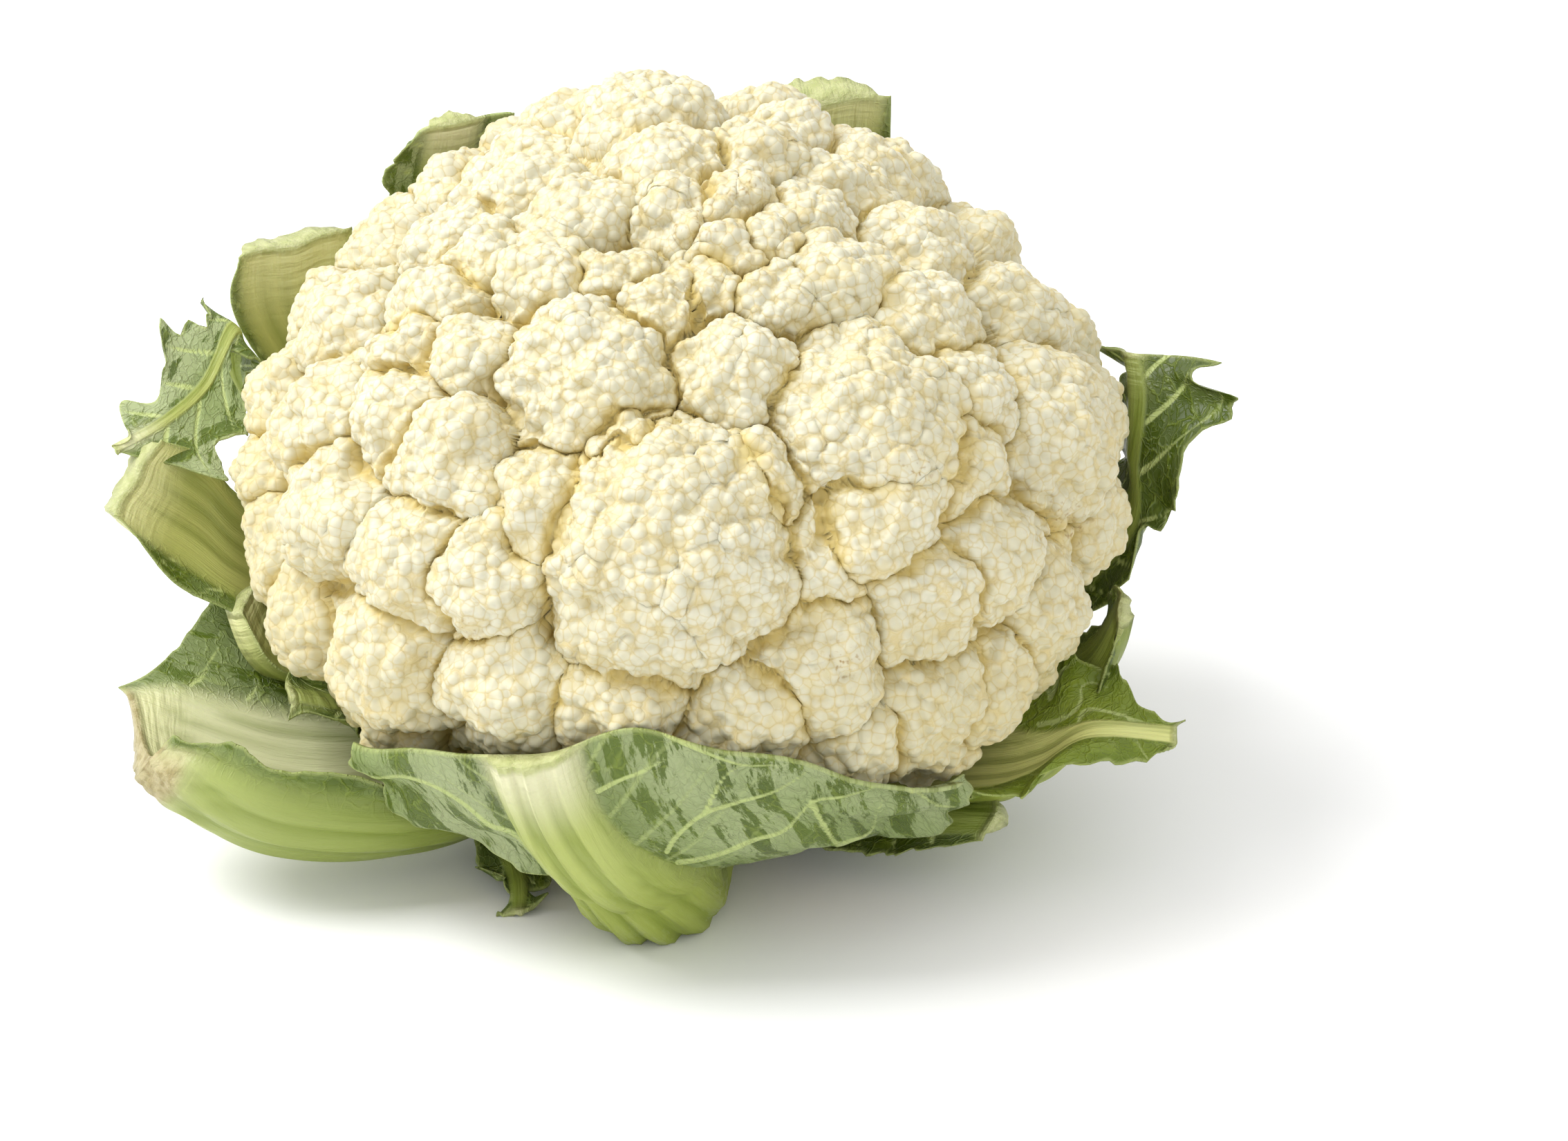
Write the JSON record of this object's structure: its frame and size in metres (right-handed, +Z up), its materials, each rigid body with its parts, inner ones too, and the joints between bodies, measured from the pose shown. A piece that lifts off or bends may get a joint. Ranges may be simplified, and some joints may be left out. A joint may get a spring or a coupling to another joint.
{
  "type": "cauliflower",
  "caption": "Whole cauliflower head: a domed curd of florets on a cut stalk, ringed by trimmed outer leaves, leaning forwards.",
  "frame": {"origin": "centre of the stalk's level cut face, where it rests on the table", "axes": "+Z up from the table; the head leans forwards towards -Y; +X to the right as seen from the front"},
  "size_m": [0.2136, 0.1703, 0.1374],
  "materials": {
    "curd": "matt, finely granular",
    "stalk": "satin",
    "leaf": "satin with a waxy bloom"
  },
  "bodies": {
    "root": {"curd": "curd", "stalk": "stalk", "leaf_front": "leaf", "leaf_left_low": "leaf", "leaf_left": "leaf", "leaf_left_blade": "leaf", "leaf_upper_left": "leaf", "leaf_back_left": "leaf", "leaf_back_right": "leaf", "leaf_back_far_right": "leaf", "leaf_right": "leaf", "leaf_right_low": "leaf", "leaf_front_right": "leaf", "leaf_front_low": "leaf", "leaf_under": "leaf", "leaf_inner_left": "leaf", "leaf_inner_stub": "leaf"}
  },
  "joints": []
}
